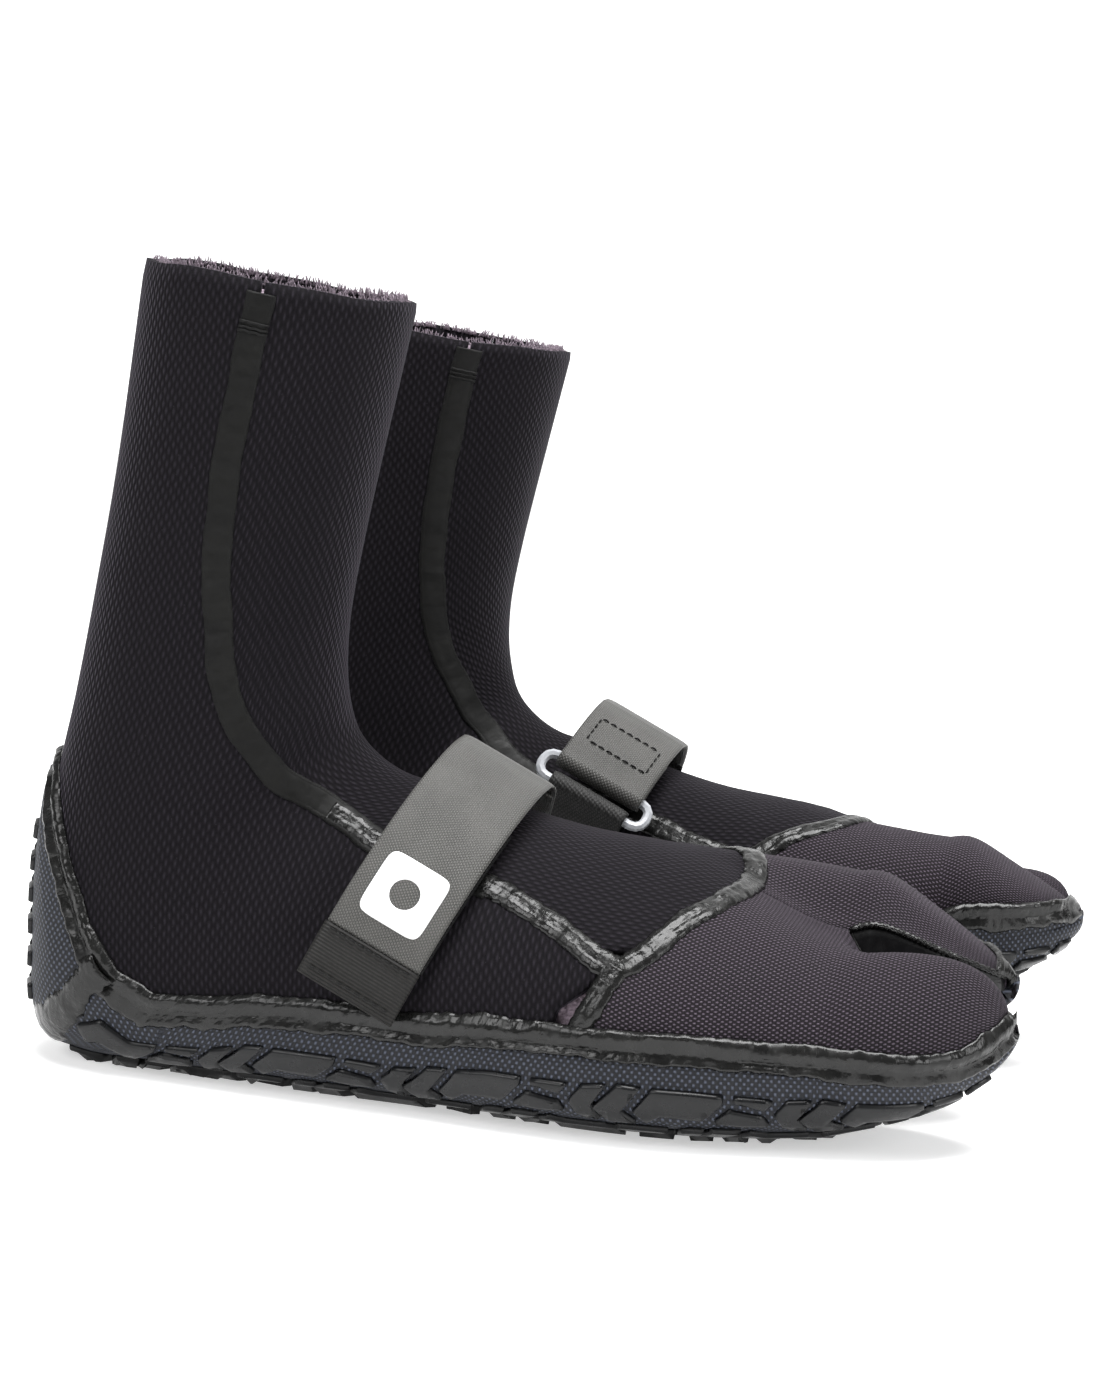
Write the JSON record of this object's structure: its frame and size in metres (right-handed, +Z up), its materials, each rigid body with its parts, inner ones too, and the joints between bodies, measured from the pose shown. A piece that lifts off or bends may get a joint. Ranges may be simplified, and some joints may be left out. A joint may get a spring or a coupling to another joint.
{
  "type": "pair of split-toe neoprene boots",
  "caption": "Pair of soft ankle-high split-toe water boots with moulded rubber soles, sealed seams and a hook-and-loop instep strap through a ring.",
  "frame": {"origin": "centre of the bounding box of the pair, on the floor", "axes": "+X from heels to toes, +Y from the right boot to the left boot, +Z up"},
  "size_m": [0.2952, 0.226, 0.2295],
  "materials": {
    "neoprene": "matt knitted jersey over foam",
    "toe_mesh": "matt mesh jersey",
    "gusset": "smooth skin neoprene",
    "lining": "fleece",
    "sole_rubber": "moulded, knit texture and gloss lugs",
    "seam_rubber": "glossy liquid rubber",
    "tape": "satin",
    "webbing": "woven webbing",
    "hook": "hook-and-loop",
    "elastic": "woven elastic",
    "ribbon": "ribbed ribbon",
    "ring": "light grey, smooth",
    "thread": "black thread"
  },
  "bodies": {
    "right_boot": {"right_instep_panel": "neoprene", "right_back_panel": "neoprene", "right_toe_cap": "toe_mesh", "right_toe_gusset": "gusset", "right_lining": "lining", "right_outsole": "sole_rubber", "right_sole_band": "seam_rubber", "right_outer_tape": "tape", "right_inner_tape": "tape", "right_vamp_seam": "seam_rubber", "right_outer_toe_seam": "seam_rubber", "right_inner_toe_seam": "seam_rubber", "right_outer_bartack": "thread", "right_inner_bartack": "thread", "right_loop_pad": "hook", "right_anchor_patch": "ribbon", "right_elastic_loop": "elastic"},
    "right_ring_body": {"right_ring": "ring"},
    "right_strap_body": {"right_strap_loop": "webbing"},
    "right_flap_body": {"right_strap_flap": "webbing", "right_hook_pad": "hook", "right_pull_tab": "ribbon"},
    "left_boot": {"left_instep_panel": "neoprene", "left_back_panel": "neoprene", "left_toe_cap": "toe_mesh", "left_toe_gusset": "gusset", "left_lining": "lining", "left_outsole": "sole_rubber", "left_sole_band": "seam_rubber", "left_outer_tape": "tape", "left_inner_tape": "tape", "left_vamp_seam": "seam_rubber", "left_outer_toe_seam": "seam_rubber", "left_inner_toe_seam": "seam_rubber", "left_outer_bartack": "thread", "left_inner_bartack": "thread", "left_loop_pad": "hook", "left_anchor_patch": "ribbon", "left_elastic_loop": "elastic"},
    "left_ring_body": {"left_ring": "ring"},
    "left_strap_body": {"left_strap_loop": "webbing"},
    "left_flap_body": {"left_strap_flap": "webbing", "left_hook_pad": "hook", "left_pull_tab": "ribbon"}
  },
  "joints": [
    {"name": "right_ring_swing", "type": "hinge", "parent": "right_boot", "child": "right_ring_body", "pos_m": [-0.02155, -0.0199, 0.07232], "axis": [-0.8988, 0, 0.4384], "range_deg": [0, 15]},
    {"name": "right_strap_swing", "type": "hinge", "parent": "right_ring_body", "child": "right_strap_body", "pos_m": [-0.01866, -0.0244, 0.07825], "axis": [-0.8988, 0, 0.4384], "range_deg": [0, 30]},
    {"name": "right_flap_peel", "type": "hinge", "parent": "right_strap_body", "child": "right_flap_body", "pos_m": [-0.0112, -0.052, 0.09353], "axis": [-0.8988, 0, 0.4384], "range_deg": [0, 100]},
    {"name": "left_boot_lift", "type": "slide", "parent": "right_boot", "child": "left_boot", "axis": [0, 0, 1], "range_m": [0, 0.3]},
    {"name": "left_ring_swing", "type": "hinge", "parent": "left_boot", "child": "left_ring_body", "pos_m": [-0.00255, 0.0199, 0.07232], "axis": [0.8988, 0, -0.4384], "range_deg": [0, 15]},
    {"name": "left_strap_swing", "type": "hinge", "parent": "left_ring_body", "child": "left_strap_body", "pos_m": [0.00034, 0.0244, 0.07825], "axis": [0.8988, 0, -0.4384], "range_deg": [0, 30]},
    {"name": "left_flap_peel", "type": "hinge", "parent": "left_strap_body", "child": "left_flap_body", "pos_m": [0.0078, 0.052, 0.09353], "axis": [0.8988, 0, -0.4384], "range_deg": [0, 100]}
  ]
}
